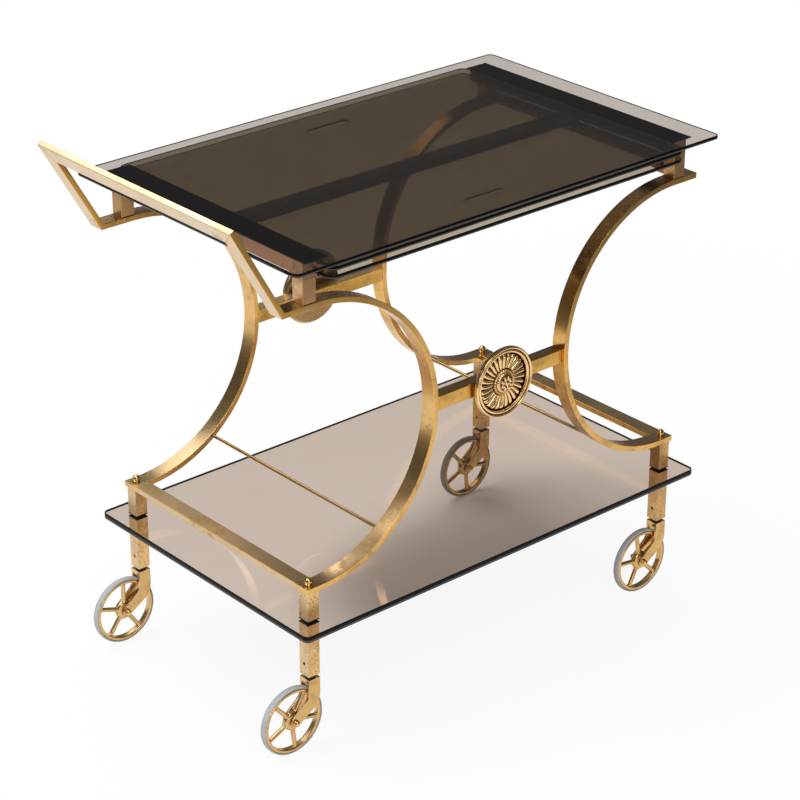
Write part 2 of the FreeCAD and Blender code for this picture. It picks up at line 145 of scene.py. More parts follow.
def make_pits():
    # Small dark pits that gather in some areas, and where asked for all over the faces turned to the front.
    inputs = {"Scale": 420.0, "Amount": 0.3, "Front": 0.0}
    t, given, wanted, here = effect("casting_pits", inputs, ["Mask", "Height"])
    warp = t.add("TexNoise", {"Vector": here, "Scale": 300.0, "Detail": 2.0}).outputs["Color"]
    shift = t.add("VectorMath", {0: warp, "Scale": 0.0012}, operation="SCALE").outputs[0]
    bent = t.add("VectorMath", {0: here, 1: shift}, operation="ADD").outputs[0]
    cells = t.add("TexVoronoi", {"Vector": bent, "Scale": given["Scale"], "Randomness": 1.0}).outputs
    near = t.spread(cells["Distance"], 0.1, 0.42, 1.0, 0.0)
    edge = t.math("SUBTRACT", 0.82, t.math("MULTIPLY", given["Amount"], 0.6))
    share = t.spread(t.noise(here, 34.0, 3.0, 0.6), edge, t.math("ADD", edge, 0.1))
    lone = t.math("MULTIPLY", t.math("GREATER_THAN", cells["Color"], 0.94), 0.8)
    facing = t.add("SeparateXYZ", {0: t.add("TexCoord").outputs["Normal"]}).outputs["Y"]
    front = t.math("MULTIPLY", t.spread(facing, -0.5, -0.8), given["Front"])
    mask = t.math("MULTIPLY", near, t.math("MAXIMUM", t.math("MAXIMUM", share, lone), front), True)
    t.feed(mask, wanted["Mask"])
    t.feed(t.math("MULTIPLY", mask, -1.0), wanted["Height"])
    return t.tree


def make_edge_polish():
    # The rounded-over edges, rubbed bright in an uneven line.
    t, given, wanted, here = effect("rubbed_edges", {"Strength": 0.7}, ["Mask"])
    edge = t.add("Attribute", attribute_name="edge").outputs["Fac"]
    uneven = t.spread(t.noise(here, 120.0, 3.0, 0.6), 0.3, 0.6, 0.25, 1.0)
    t.feed(t.math("MULTIPLY", t.math("MULTIPLY", edge, uneven), given["Strength"], True), wanted["Mask"])
    return t.tree


def make_painted_sheen():
    # A painted pale sheen, as of light falling on what faces up, and on the handle side on what faces outwards;
    # the lacquer is made duller there too.
    t, given, wanted, here = effect("painted_sheen_mask", {"Top": 0.75, "Side": 0.95}, ["Mask"])
    facing = t.add("SeparateXYZ", {0: t.add("TexCoord").outputs["Normal"]}).outputs
    along = t.add("SeparateXYZ", {0: here}).outputs["X"]
    up = t.math("MULTIPLY", t.spread(facing["Z"], 0.45, 0.92, soft=True), given["Top"])
    outward = t.spread(facing["X"], -0.25, -0.65, soft=True)
    handle_side = t.spread(along, 0.1, -0.12, soft=True)
    side = t.math("MULTIPLY", t.math("MULTIPLY", outward, handle_side), given["Side"])
    uneven = t.spread(t.noise(here, 16.0, 3.0, 0.6), 0.3, 0.65, 0.72, 1.0)
    t.feed(t.math("MULTIPLY", t.math("MAXIMUM", up, side), uneven, True), wanted["Mask"])
    return t.tree


def make_stains():
    # Patches with a clear outline where the lacquer has gone and the metal has turned brown.
    t, given, wanted, here = effect("lacquer_stains", {"Scale": 55.0, "Amount": 0.4}, ["Mask"])
    patch = t.noise(here, given["Scale"], 5.0, 0.66)
    broad = t.noise(here, t.math("MULTIPLY", given["Scale"], 0.22), 2.0, 0.5)
    both = t.math("ADD", t.math("MULTIPLY", patch, 0.6), t.math("MULTIPLY", broad, 0.4))
    low = t.math("SUBTRACT", 0.64, t.math("MULTIPLY", given["Amount"], 0.3))
    t.feed(t.spread(both, low, t.math("ADD", low, 0.07), soft=True), wanted["Mask"])
    return t.tree


def make_smudges():
    # A thin uneven film with a few wiped streaks and specks of dust.
    t, given, wanted, here = effect("wiped_film", {"Scale": 9.0, "Dust": 0.5}, ["Film", "Dust"])
    stretch = t.add("VectorMath", {0: here, 1: (0.35, 1.0, 1.0)}, operation="MULTIPLY").outputs[0]
    film = t.noise(stretch, given["Scale"], 4.0, 0.62)
    cells = t.add("TexVoronoi", {"Vector": here, "Scale": 190.0, "Randomness": 1.0}).outputs
    near = t.spread(cells["Distance"], 0.05, 0.13, 1.0, 0.0)
    rare = t.math("SUBTRACT", 1.0, t.math("MULTIPLY", given["Dust"], 0.1))
    t.feed(t.spread(film, 0.35, 0.75), wanted["Film"])
    t.feed(t.math("MULTIPLY", near, t.math("GREATER_THAN", cells["Color"], rare)), wanted["Dust"])
    return t.tree


tarnish_clouds = make_patina()
metal_grain = make_grain()
casting_pits = make_pits()
rubbed_edges = make_edge_polish()
painted_sheen_mask = make_painted_sheen()
lacquer_stains = make_stains()
wiped_film = make_smudges()


# Finishes

def new_finish(name):
    finish = bpy.data.materials.new(name)
    finish.use_nodes = True
    finish.node_tree.nodes.clear()
    t = Tree(finish.node_tree)
    surface = t.add("BsdfPrincipled")
    out = t.add("OutputMaterial", {"Surface": surface.outputs[0]})
    return finish, t, surface.inputs, out


def opaque(*colour):
    return (*colour, 1.0)


def brass(name, bright, tarnished, reach, smooth, rough, pits, grain=900.0, draw=0.12, cloud=20.0,
          bump=0.05, sheen_tone=None, shade_tone=None, side=0.95, pit_size=420.0, stains=0.35, front=0.0):
    # Brass that has darkened in clouds, with grain, pits, stains and rubbed edges; where asked for, a painted
    # pale sheen on faces turned up and outwards, painted shade in hollows, and pitted front faces.
    finish, t, surface, out = new_finish(name)
    clouds = t.place(tarnish_clouds, Scale=cloud, Reach=reach)["Mask"]
    grains = t.place(metal_grain, Scale=grain, Draw=draw)
    pit = t.place(casting_pits, Amount=pits, Scale=pit_size, Front=front)
    stain = t.place(lacquer_stains, Amount=stains)["Mask"]
    edges = t.place(rubbed_edges)["Mask"]
    pale = opaque(*(min(1.0, c * 1.1 + 0.02) for c in bright[:3]))
    deep = opaque(*(c * 0.25 for c in tarnished[:3]))
    tone = t.mix(t.math("MULTIPLY", clouds, 0.6), bright, tarnished)
    tone = t.mix(t.math("MULTIPLY", grains["Speckle"], 0.12), tone, tarnished)
    dull = t.math("ADD", t.math("MULTIPLY", clouds, 0.5), t.math("MULTIPLY", grains["Speckle"], 0.25))
    if sheen_tone:
        # The painted pale sheen, with duller lacquer, on faces turned up and outwards.
        film = t.place(painted_sheen_mask, Side=side)["Mask"]
        tone = t.mix(film, tone, sheen_tone)
        dull = t.math("ADD", dull, t.math("MULTIPLY", film, 0.6))
    tone = t.mix(t.math("MULTIPLY", stain, 0.42), tone, tarnished)
    dull = t.math("ADD", dull, t.math("MULTIPLY", stain, 0.35))
    tone = t.mix(edges, tone, pale)
    # Painted shade in the hollows of carving, read from the mesh.
    if shade_tone:
        painted_shade = t.add("Attribute", attribute_name="painted_shade").outputs["Fac"]
        tone = t.mix(t.spread(painted_shade, 0.25, 0.95, soft=True), tone, shade_tone)
        dull = t.math("ADD", dull, t.math("MULTIPLY", painted_shade, 0.8))
    tone = t.mix(t.math("MULTIPLY", pit["Mask"], 0.8), tone, deep)
    dull = t.math("ADD", t.math("SUBTRACT", dull, t.math("MULTIPLY", edges, 0.4)), pit["Mask"], True)
    t.feed(tone, surface["Base Color"])
    t.feed(t.spread(dull, 0.0, 1.0, smooth, rough), surface["Roughness"])
    surface["Metallic"].default_value = 1.0
    height = t.math("ADD", t.math("MULTIPLY", grains["Height"], 0.35), pit["Height"])
    normal = t.add("Bump", {"Strength": bump, "Distance": 0.0006, "Height": height})
    t.feed(normal.outputs[0], surface["Normal"])
    return finish


def smoked_glass(name, left_over, density):
    # Polished glass that takes up light on the way through, with a wiped film on its faces.
    finish, t, surface, out = new_finish(name)
    marks = t.place(wiped_film)
    surface["Transmission Weight"].default_value = 1.0
    surface["IOR"].default_value = 1.5
    rough = t.math("ADD", t.math("MULTIPLY", marks["Film"], 0.002), t.math("MULTIPLY", marks["Dust"], 0.25))
    t.feed(rough, surface["Roughness"])
    t.feed(t.mix(marks["Film"], opaque(1.0, 1.0, 1.0), opaque(0.97, 0.965, 0.955)), surface["Base Color"])
    body = t.add("VolumeAbsorption", {"Color": left_over, "Density": density})
    t.feed(body.outputs[0], out.inputs["Volume"])
    return finish


def glass_edge():
    # The ground and polished edge of smoked glass, near black from the long way that light has through it,
    # with a grey line along its lower half that is a painted reflection of the floor.
    finish, t, surface, out = new_finish("smoked_glass_edge")
    marks = t.place(wiped_film, Scale=40.0)
    edges = t.place(rubbed_edges, Strength=0.5)["Mask"]
    tone = t.mix(marks["Film"], opaque(0.002, 0.0022, 0.0024), opaque(0.005, 0.005, 0.005))
    tone = t.mix(edges, tone, opaque(0.012, 0.013, 0.014))
    # A grey line painted along the lower half as the floor's reflection.
    height = t.add("SeparateXYZ", {0: t.add("TexCoord").outputs["Generated"]}).outputs["Z"]
    above = t.spread(height, 0.14, 0.24, soft=True)
    line = t.math("MULTIPLY", above, t.spread(height, 0.46, 0.36, soft=True))
    t.feed(t.mix(line, tone, opaque(0.085, 0.088, 0.09)), surface["Base Color"])
    t.feed(t.spread(marks["Film"], 0.0, 1.0, 0.06, 0.16), surface["Roughness"])
    surface["Specular IOR Level"].default_value = 0.1
    return finish


def rubber(name, colour, worn, rough, grain=700.0, bump=0.3, gloss=0.5):
    # Rubber, paint or hard plastic with a close grain, dusty in soft clouds and rubbed on the edges.
    finish, t, surface, out = new_finish(name)
    clouds = t.place(tarnish_clouds, Scale=60.0, Reach=0.55)["Mask"]
    grains = t.place(metal_grain, Scale=grain, Draw=1.0)
    edges = t.place(rubbed_edges, Strength=0.35)["Mask"]
    tone = t.mix(t.math("MULTIPLY", clouds, 0.55), colour, worn)
    tone = t.mix(t.math("MULTIPLY", grains["Speckle"], 0.3), tone, worn)
    t.feed(t.mix(edges, tone, worn), surface["Base Color"])
    t.feed(t.spread(grains["Speckle"], 0.0, 1.0, rough, rough + 0.15), surface["Roughness"])
    surface["Specular IOR Level"].default_value = gloss
    normal = t.add("Bump", {"Strength": bump, "Distance": 0.0004, "Height": grains["Height"]})
    t.feed(normal.outputs[0], surface["Normal"])
    return finish


gold = opaque(0.80, 0.455, 0.11)
brown_gold = opaque(0.40, 0.215, 0.06)
# Paler tones painted as the sheen of light on faces turned up and outwards.
painted_sheen_pale = opaque(0.76, 0.58, 0.36)
painted_sheen_cream = opaque(0.75, 0.61, 0.44)
bar_pits = 300.0
leg_pits = 290.0
caster_pits = 320.0
finishes = {
    "brass": brass("aged_flat_bar_brass", gold, brown_gold, reach=0.7, smooth=0.22, rough=0.44, pits=0.25,
                   sheen_tone=painted_sheen_pale, pit_size=bar_pits),
    # The carving's hollows and back take a painted shade tone.
    "ornament_brass": brass("carved_brass", opaque(1.0, 0.70, 0.34), opaque(0.58, 0.26, 0.09), reach=0.4,
                            smooth=0.14, rough=0.4, pits=0.05, cloud=70.0, bump=0.004, draw=1.0,
                            shade_tone=opaque(0.10, 0.036, 0.011), stains=0.15),
    "polished_brass": brass("nut_brass", opaque(0.82, 0.55, 0.22), brown_gold, reach=0.35, smooth=0.1,
                            rough=0.3, pits=0.1, cloud=120.0, bump=0.04, draw=1.0),
    "caster_brass": brass("caster_cast_brass", opaque(0.73, 0.46, 0.18), opaque(0.38, 0.215, 0.08),
                          reach=0.6, smooth=0.18, rough=0.4, pits=0.3, cloud=60.0, draw=1.0, sheen_tone=painted_sheen_pale,
                          side=0.7, pit_size=caster_pits, bump=0.012),
    "top_glass": smoked_glass("smoked_top_glass", opaque(0.333, 0.185, 0.036), density=72.0),
    "leaf_glass": smoked_glass("smoked_leaf_glass", opaque(0.306, 0.204, 0.02), density=192.0),
    "shelf_glass": smoked_glass("smoked_shelf_glass", opaque(0.488, 0.243, 0.022), density=58.0),
    "black_rubber": rubber("black_pad_rubber", opaque(0.010, 0.010, 0.010), opaque(0.024, 0.023, 0.022),
                           rough=0.55),
    "black_plastic": rubber("black_washer_plastic", opaque(0.012, 0.012, 0.013), opaque(0.03, 0.028, 0.026),
                            rough=0.4),
    "black_paint": rubber("black_bar_paint", opaque(0.008, 0.008, 0.008), opaque(0.016, 0.015, 0.014),
                          rough=0.45),
    "steel": brass("dark_screw_steel", opaque(0.10, 0.095, 0.09), opaque(0.035, 0.03, 0.026), reach=0.6,
                   smooth=0.3, rough=0.5, pits=0.2, cloud=200.0),
    "grey_tyre": rubber("grey_tyre_rubber", opaque(0.48, 0.495, 0.50), opaque(0.28, 0.29, 0.29), rough=0.6,
                        grain=420.0, bump=0.8),
}

# Finishes of single pieces, where the photograph shows them apart from the rest of their kind.
lower_leaf_glass = smoked_glass("smoked_lower_leaf_glass", opaque(0.418, 0.277, 0.017), density=137.0)
dark_edge = glass_edge()
black_channel = rubber("black_channel_lining", opaque(0.006, 0.006, 0.006), opaque(0.014, 0.013, 0.012),
                       rough=0.6, gloss=0.1)
rail_brass = brass("brown_rail_brass", opaque(0.54, 0.30, 0.165), opaque(0.30, 0.16, 0.08), reach=0.5,
                   smooth=0.2, rough=0.4, pits=0.2)
rod_brass = brass("brown_rod_brass", opaque(0.55, 0.32, 0.12), opaque(0.25, 0.14, 0.05), reach=0.5,
                  smooth=0.2, rough=0.35, pits=0.1)
pitted_brass = brass("pitted_leg_brass", opaque(0.90, 0.59, 0.26), opaque(0.46, 0.26, 0.10), reach=0.7,
                     smooth=0.24, rough=0.46, pits=0.6, bump=0.1, sheen_tone=painted_sheen_pale, pit_size=leg_pits,
                     front=0.8)
brown_leg_brass = brass("brown_leg_brass", opaque(0.70, 0.425, 0.175), opaque(0.36, 0.20, 0.08), reach=0.8,
                        smooth=0.24, rough=0.46, pits=0.65, bump=0.1, sheen_tone=painted_sheen_pale, pit_size=leg_pits,
                        front=0.6)
bar_finishes = {
    "arc": brass("aged_arc_brass", opaque(0.80, 0.465, 0.14), brown_gold, reach=0.7, smooth=0.15,
                 rough=0.34, pits=0.04, sheen_tone=painted_sheen_pale, side=0.28, pit_size=bar_pits, bump=0.012),
    "post": brass("stained_post_brass", opaque(0.76, 0.45, 0.17), opaque(0.42, 0.25, 0.13), reach=0.7,
                  smooth=0.16, rough=0.36, pits=0.25, sheen_tone=painted_sheen_pale, side=0.3, stains=0.7, bump=0.012),
    "handle": brass("pale_handle_brass", gold, brown_gold, reach=0.6, smooth=0.2, rough=0.4, pits=0.25,
                    sheen_tone=painted_sheen_cream, pit_size=bar_pits),
    "top_crossbar": brass("dark_crossbar_brass", opaque(0.34, 0.19, 0.06), opaque(0.18, 0.10, 0.035),
                          reach=0.7, smooth=0.22, rough=0.44, pits=0.2),
}
# The rear right caster gets darker copies of caster brass and tyre rubber: partly grime, partly painted shade for
# the shade it stands in.
shaded_place = "rear_right"
dull_shaded_caster_brass = brass("dull_shaded_caster_brass", opaque(0.54, 0.335, 0.125), opaque(0.27, 0.15, 0.055),
                          reach=0.7, smooth=0.2, rough=0.42, pits=0.3, cloud=60.0, draw=1.0,
                          pit_size=caster_pits, bump=0.012)
grimy_shaded_tyre_rubber = rubber("grimy_shaded_tyre_rubber", opaque(0.31, 0.30, 0.275), opaque(0.17, 0.16, 0.14),
                           rough=0.6, grain=420.0, bump=0.8)
slots = {}
for part in frame["record"]["subparts"]:
    slots[part["node"]] = part["material_slot"]


# Pieces

def stand_in(name, bm, node, finish=None, sharp=42.0):
    # Turns mesh work into a finished piece that takes over from its plain solid.
    bmesh.ops.recalc_face_normals(bm, faces=bm.faces)
    mesh = bpy.data.meshes.new(name)
    bm.to_mesh(mesh)
    bm.free()
    mesh.shade_smooth()
    mesh.set_sharp_from_angle(angle=math.radians(sharp))
    thing = bpy.data.objects.new(name, mesh)
    bpy.context.scene.collection.objects.link(thing)
    mesh.materials.append(finish or finishes[slots[node]])
    thing.modifiers.new("even_normals", "WEIGHTED_NORMAL").keep_sharp = True
    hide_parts(node)
    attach(thing, carrier[node])
    return thing


def slimmed(bm, share):
    # Draws round pins in towards the swivel axes that they stand on, so that they are clear of their bores.
    axes = [Vector(joint_at["swivel_" + place_name]) for place_name in places]
    for vert in bm.verts:
        axis = min(axes, key=lambda one: (vert.co.xy - one.xy).length)
        vert.co.xy = axis.xy + (vert.co.xy - axis.xy) * share


def eased(node, width, finish=None, second=None, belongs=None, slim=1.0):
    # A node's own form with its flat faces made whole and its sharp edges rounded over.  The faces that
    # belong to it get the second finish.
    bm = bmesh.new()
    bm.from_mesh(nodes[node].data)
    bmesh.ops.remove_doubles(bm, verts=bm.verts, dist=3e-6)
    bmesh.ops.dissolve_limit(bm, angle_limit=math.radians(0.6), verts=bm.verts, edges=bm.edges)
    edge = bm.faces.layers.float.new("edge")
    corners = [e for e in bm.edges if len(e.link_faces) == 2 and e.calc_face_angle() > math.radians(28)]
    done = bmesh.ops.bevel(bm, geom=corners, offset=width, segments=2, profile=0.5, affect="EDGES",
                           clamp_overlap=True)
    for face in done["faces"]:
        face[edge] = 1.0
    if slim < 1.0:
        slimmed(bm, slim)
    if second:
        for face in bm.faces:
            face.material_index = int(belongs(face, face[edge] > 0.5))
    thing = stand_in(node + "_finished", bm, node, finish)
    if second:
        thing.data.materials.append(second)
    return thing


def ground_edge(face, rounded):
    # The edges of a pane and the walls of its finger groove.
    return abs(face.normal.z) < 0.97


def groove_side(face, rounded):
    # The sides of a rail that carry the leaves: neither its outer face nor its ends.
    outward = face.normal.x * (1 if face.calc_center_median().x > 0 else -1)
    return outward < 0.5 and abs(face.normal.y) < 0.5 and not rounded


def bar_finish(node):
    # The finish of a bar, post or leg that has one of its own, or None.
    if "_leg_" in node:
        return brown_leg_brass if node.endswith("right") else pitted_brass
    return next((finish for start, finish in bar_finishes.items() if node.startswith(start)), None)


bar_ease = 0.8 * mm
fork_ease = 1.0 * mm
pane_ease = 0.35 * mm
small_ease = 0.25 * mm
stem_share = 0.97
for node, slot in slots.items():
    if node.startswith("rail"):
        eased(node, small_ease, finish=rail_brass, second=black_channel, belongs=groove_side)
    elif node.startswith("gallery"):
        eased(node, small_ease, finish=rod_brass)
    elif slot in ("brass", "black_paint"):
        eased(node, bar_ease, finish=bar_finish(node))
    elif slot.endswith("glass"):
        body = lower_leaf_glass if node == "lower_leaf" else None
        eased(node, pane_ease, finish=body, second=dark_edge, belongs=ground_edge)
    elif node == "caster_stems":
        eased(node, small_ease, slim=stem_share)
    elif slot in ("black_rubber", "black_plastic", "steel"):
        eased(node, small_ease)
    elif node.startswith("fork"):
        eased(node, fork_ease, finish=dull_shaded_caster_brass if node.endswith(shaded_place) else None)


def skinned(bm, rings, closed=False):
    # Faces from each ring of points to the next; a ring that is one point gives triangles.
    pairs = list(zip(rings, rings[1:]))
    if closed:
        pairs.append((rings[-1], rings[0]))
    for near, far in pairs:
        for n in range(len(near)):
            bm.faces.new(list(dict.fromkeys((near[n - 1], near[n], far[n], far[n - 1]))))


def turned(bm, outline, centre, axis, steps, closed=False):
    # Turns (radius, along) points about an axis; a point on the axis closes the form there.
    side = Vector((0.0, 0.0, 1.0)) if abs(axis.z) < 0.9 else Vector((1.0, 0.0, 0.0))
    side = (side - axis * side.dot(axis)).normalized()
    other = axis.cross(side)
    turns = [2 * math.pi * n / steps for n in range(steps)]
    ways = [side * math.cos(turn) + other * math.sin(turn) for turn in turns]
    rings = []
    for radius, along in outline:
        middle = centre + axis * along
        if radius < 1e-7:
            rings.append([bm.verts.new(middle)] * steps)
        else:
            rings.append([bm.verts.new(middle + way * radius) for way in ways])
    skinned(bm, rings, closed)


def swell(middle, half, crown, power, count):
    # Points (radius, along) over a bulging profile, from one side to the other.
    points = []
    for n in range(count + 1):
        share = -math.cos(math.pi * n / count)
        points.append((middle + crown * max(0.0, 1 - abs(share) ** power) ** (1 / power), half * share))
    return points


def ring_half(distance, half):
    # Height of a half round at a distance from its middle, as a share of its rise.
    return math.sqrt(max(0.0, 1 - (distance / half) ** 2))


# The rosette's carved face: radii, and heights over its back, in millimetres.
ribs = 28
petals = 8
rope_beads = 26
fine_beads = 34
rim_bead_at, rim_bead_half, rim_bead_foot, rim_bead_rise = 52.0, 2.0, 8.2, 2.8
groove_from, groove_at, groove_half, groove_depth = 48.8, 49.4, 0.6, 0.9
band_from, band_at, band_half, band_foot, band_rise = 44.5, 46.7, 2.1, 8.0, 1.6
ledge_from, ledge_height = 44.0, 6.8
rib_start, rib_reach, rib_swell = 19.6, 25.0, 1.5
rib_width, rib_taper, rib_lean = 0.47, 0.09, 0.35
rib_bed, rib_bed_fall, rib_rise, rib_rise_more = 4.8, 1.2, 3.0, 2.2
rib_tip_from, rib_tip_length = 36.0, 6.8
rib_section = (-1.0, -0.96, -0.85, -0.65, -0.35, 0.0, 0.35, 0.65, 0.85, 0.96, 1.0, None)
rope_from, rope_at, rope_half, rope_foot, rope_rise, rope_twist = 16.0, 17.8, 1.8, 7.6, 2.8, 1.6
fine_from, fine_at, fine_half, fine_foot, fine_fall, fine_rise = 13.4, 14.7, 1.3, 12.6, 1.2, 1.0
step_from, step_height, step_fall = 12.0, 13.4, 0.5
bed_radius, bed_foot, bed_rise = 12.01, 13.0, 1.2
petal_at, petal_half_width, petal_half_length, petal_rise = 8.0, 2.9, 3.6, 2.5
button_radius, button_rise = 3.8, 2.3
ring_step, ring_count = 0.45, 112
rosette_back = ((54.0, 8.2), (54.0, 5.2), (53.7, 4.6), (50.2, 0.2), (49.8, 0.0))
back_under = 5.0


def rib_form(r):
    # Half of a rib's width and its lean, in ribs, at a radius.
    out = min(1.0, max(0.0, (r - rib_start) / rib_reach))
    return rib_width - rib_taper * out, rib_lean * out ** 2


def rib_turn(r, n):
    # The angle of the n-th line of the mesh, so that the lines run along the ribs.
    rib, step = divmod(n, len(rib_section))
    half, lean = rib_form(r)
    across = 0.5 if rib_section[step] is None else half * rib_section[step]
    return 2 * math.pi * (rib + across - lean) / ribs


def relief(r, turn):
    # Height of the carved face, and how much painted shade darkens it there: between ribs, beads and petals, in
    # the groove, and in a ring at the foot of the band.
    if r > rim_bead_at - rim_bead_half:
        rise = ring_half(r - rim_bead_at, rim_bead_half)
        return rim_bead_foot + rim_bead_rise * rise ** 0.8, 0.7 * (1 - rise) if r < rim_bead_at else 0.0
    if r > groove_from:
        return rim_bead_foot - groove_depth * ring_half(r - groove_at, groove_half), 0.9
    if r > band_from:
        return band_foot + band_rise * ring_half(r - band_at, band_half) ** 0.6, 0.0
    # A ring of painted shadow at the foot of the band.
    if r > ledge_from:
        return ledge_height, 1.0
    if r > rib_start:
        out = (r - rib_start) / rib_reach
        half, lean = rib_form(r)
        across = (turn * ribs / (2 * math.pi) + lean + 0.5) % 1.0 - 0.5
        crest = ring_half(across, half) * min(1.0, (r - rib_start) / rib_swell)
        end = ring_half(r - rib_tip_from, rib_tip_length) if r > rib_tip_from else 1.0
        height = rib_bed - rib_bed_fall * out + (rib_rise + rib_rise_more * out) * end * crest
        return height, 1 - crest * min(1.0, 1.6 * end)
    if r > rope_from:
        bead = 0.5 + 0.5 * math.cos(turn * rope_beads + rope_twist * (r - rope_at))
        crest = ring_half(r - rope_at, rope_half) * (0.45 + 0.55 * bead)
        return rope_foot + rope_rise * crest, 0.8 * (1 - crest)
    if r > fine_from:
        bead = 0.5 + 0.5 * math.cos(turn * fine_beads)
        crest = ring_half(r - fine_at, fine_half) * (0.5 + 0.5 * bead)
        return fine_foot - fine_fall * (r - fine_from) + fine_rise * crest, 0.6 * (1 - crest)
    if r > step_from:
        return step_height - step_fall * (r - step_from), 0.55
    swing = ((turn * petals / (2 * math.pi)) % 1.0 - 0.5) * r * 2 * math.pi / petals
    bed = bed_foot + bed_rise * math.sqrt(1 - (r / bed_radius) ** 2)
    petal = ring_half(math.hypot(swing / petal_half_width, (r - petal_at) / petal_half_length), 1.0)
    button = ring_half(r, button_radius)
    crest = max(petal, button)
    return bed + (petal_rise * petal if petal > button else button_rise * button), (1 - crest) ** 2


def carved_rosette(node, facing, back_shade):
    # A rosette with its carved face turned along Y, and a back darkened more or less by painted shade.
    low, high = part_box(node)
    centre = (low + high) / 2
    back = high.y if facing < 0 else low.y
    bm = bmesh.new()
    deep = bm.verts.layers.float.new("painted_shade")
    steps = ribs * len(rib_section)

    def spot(r, turn, height, painted_shade=0.0):
        vert = bm.verts.new((centre.x + r * mm * math.cos(turn), back + facing * height * mm,
                             centre.z + r * mm * math.sin(turn)))
        vert[deep] = painted_shade
        return vert
    rings = [[spot(0.0, 0.0, *relief(0.0, 0.0))] * steps]
    bead = [rim_bead_at - rim_bead_half * math.cos(math.radians(12.0 * n)) for n in range(1, 15)]
    for r in [ring_step * n for n in range(1, ring_count)] + bead:
        turns = [rib_turn(r, n) for n in range(steps)]
        rings.append([spot(r, turn, *relief(r, turn)) for turn in turns])
    # The back, below back_under, takes painted shade.
    for r, height in rosette_back:
        rings.append([spot(r, turn, height, back_shade if height < back_under else 0.0) for turn in turns])
    rings.append([spot(0.0, 0.0, 0.0, back_shade)] * steps)
    skinned(bm, rings)
    stand_in(node + "_carved", bm, node, sharp=75.0)


carved_rosette("rosette_front", -1, 0.7)
carved_rosette("rosette_rear", 1, 0.55)

# Casters and bolts, in millimetres; outlines are (radius, along) points.
across = Vector((0.0, 1.0, 0.0))
upward = Vector((0.0, 0.0, 1.0))
first_spokes = {"front_left": 60.0, "rear_left": 17.0, "front_right": 28.0, "rear_right": 60.0}
spokes = 5
spoke_outline = [(0.0, 5.0), (3.5, 5.0), (4.6, 14.2), (3.9, 15.4), (3.5, 16.8), (3.5, 42.4), (3.9, 43.8),
                 (4.6, 44.7), (0.0, 45.5)]
rim_inner, rim_outer, rim_half, rim_corner = 44.4, 50.4, 5.25, 2.4
hub_bore, hub_shoulder, hub_half = 4.1, 8.6, 6.5
hub_waist, hub_side, hub_swell, hub_power = 9.0, 6.3, 6.0, 2.2
tread_half, tread_waist, tread_side, tread_crown, tread_power = 5.0, 50.7, 5.2, 2.3, 2.4
nut_outline = [(4.0, 10.5), (4.8, 10.5), (5.0, 10.8), (5.0, 12.0), (4.7, 12.4), (3.9, 12.6)]
nut_dome, nut_dome_at, nut_dome_start = 4.4, 13.1, -10.0
bolt_radius, bolt_tip, bolt_chamfer = 4.0, 3.6, 0.5
ball_collar = [(5.2, 0.0), (5.4, 0.3), (5.4, 0.9), (5.1, 1.2)]
ball_radius, ball_at, ball_start = 6.0, 4.0, -28.0


def rounded_band(inner, outer, half, corner, count=4):
    # The section of a flat ring with rounded corners, as (radius, along) points.
    points = []
    far, near, side = outer - corner, inner + corner, half - corner
    corners = ((far, side, 0.0), (near, side, 90.0), (near, -side, 180.0), (far, -side, 270.0))
    for radius, along, start in corners:
        for n in range(count + 1):
            angle = math.radians(start + 90.0 * n / count)
            points.append((radius + corner * math.cos(angle), along + corner * math.sin(angle)))
    return points


def scaled(points):
    return [(radius * mm, along * mm) for radius, along in points]


def domed(radius, at, start, count):
    # Points over a round top, from a start angle up to the axis.
    points = []
    for n in range(count):
        angle = math.radians(start + (90.0 - start) * n / count)
        points.append((radius * math.cos(angle), at + radius * math.sin(angle)))
    return points + [(0.0, at + radius)]


def spoked_wheel(place_name):
    centre = Vector(joint_at["roll_" + place_name])
    bm = bmesh.new()
    rim = rounded_band(rim_inner, rim_outer, rim_half, rim_corner)
    turned(bm, scaled(rim), centre, across, 96, closed=True)
    hub = [(hub_bore, -hub_half), (hub_shoulder, -hub_half)]
    hub += swell(hub_waist, hub_side, hub_swell, hub_power, 14)
    hub += [(hub_shoulder, hub_half), (hub_bore, hub_half)]
    turned(bm, scaled(hub), centre, across, 48)
    for n in range(spokes):
        angle = math.radians(first_spokes[place_name] + 360.0 / spokes * n)
        turned(bm, scaled(spoke_outline), centre, Vector((math.cos(angle), 0.0, math.sin(angle))), 20)
    finish = dull_shaded_caster_brass if place_name == shaded_place else None
    stand_in("wheel_" + place_name + "_spoked", bm, "wheel_" + place_name, finish)


def round_tyre(place_name):
    centre = Vector(joint_at["roll_" + place_name])
    bm = bmesh.new()
    crown = swell(tread_waist, tread_side, tread_crown, tread_power, 14)
    section = [(rim_outer, -tread_half)] + crown + [(rim_outer, tread_half)]
    turned(bm, scaled(section), centre, across, 120, closed=True)
    finish = grimy_shaded_tyre_rubber if place_name == shaded_place else None
    stand_in("tyre_" + place_name + "_rounded", bm, "tyre_" + place_name, finish)


def capped_axle(place_name):
    centre = Vector(joint_at["roll_" + place_name])
    bm = bmesh.new()
    cap = nut_outline + domed(nut_dome, nut_dome_at, nut_dome_start, 8)
    whole = [(r, -a) for r, a in reversed(cap)] + cap
    turned(bm, scaled(whole), centre, across, 32)
    stand_in("axle_" + place_name + "_capped", bm, "axle_" + place_name)


